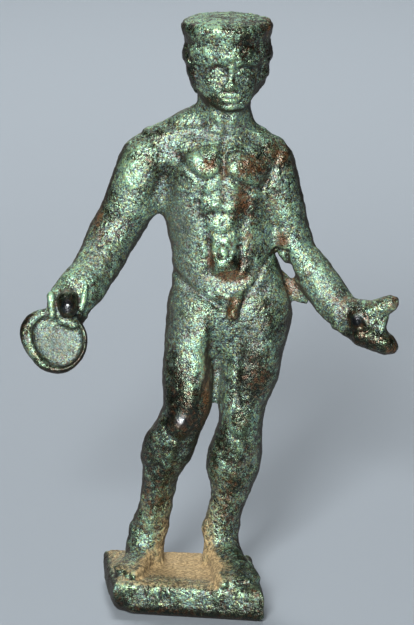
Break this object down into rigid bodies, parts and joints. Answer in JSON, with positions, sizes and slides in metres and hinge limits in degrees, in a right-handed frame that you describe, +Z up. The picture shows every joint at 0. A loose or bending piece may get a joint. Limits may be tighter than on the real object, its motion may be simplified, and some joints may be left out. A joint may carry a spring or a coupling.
{
  "type": "bronze statuette",
  "caption": "Small cast bronze figure of a standing nude youth in a drum-shaped cap, holding out a shallow dish, on a low base of the same casting.",
  "frame": {"origin": "middle of the base's flat underside", "axes": "+Z up, along the figure's height; the figure faces -Y; +X is towards its left hand"},
  "size_m": [0.0599, 0.0234, 0.0964],
  "materials": {
    "bronze": "cast bronze with a rough grey-green patina, worn brown on the high spots, semi-gloss"
  },
  "bodies": {
    "root": {"statuette": "bronze"}
  },
  "joints": []
}
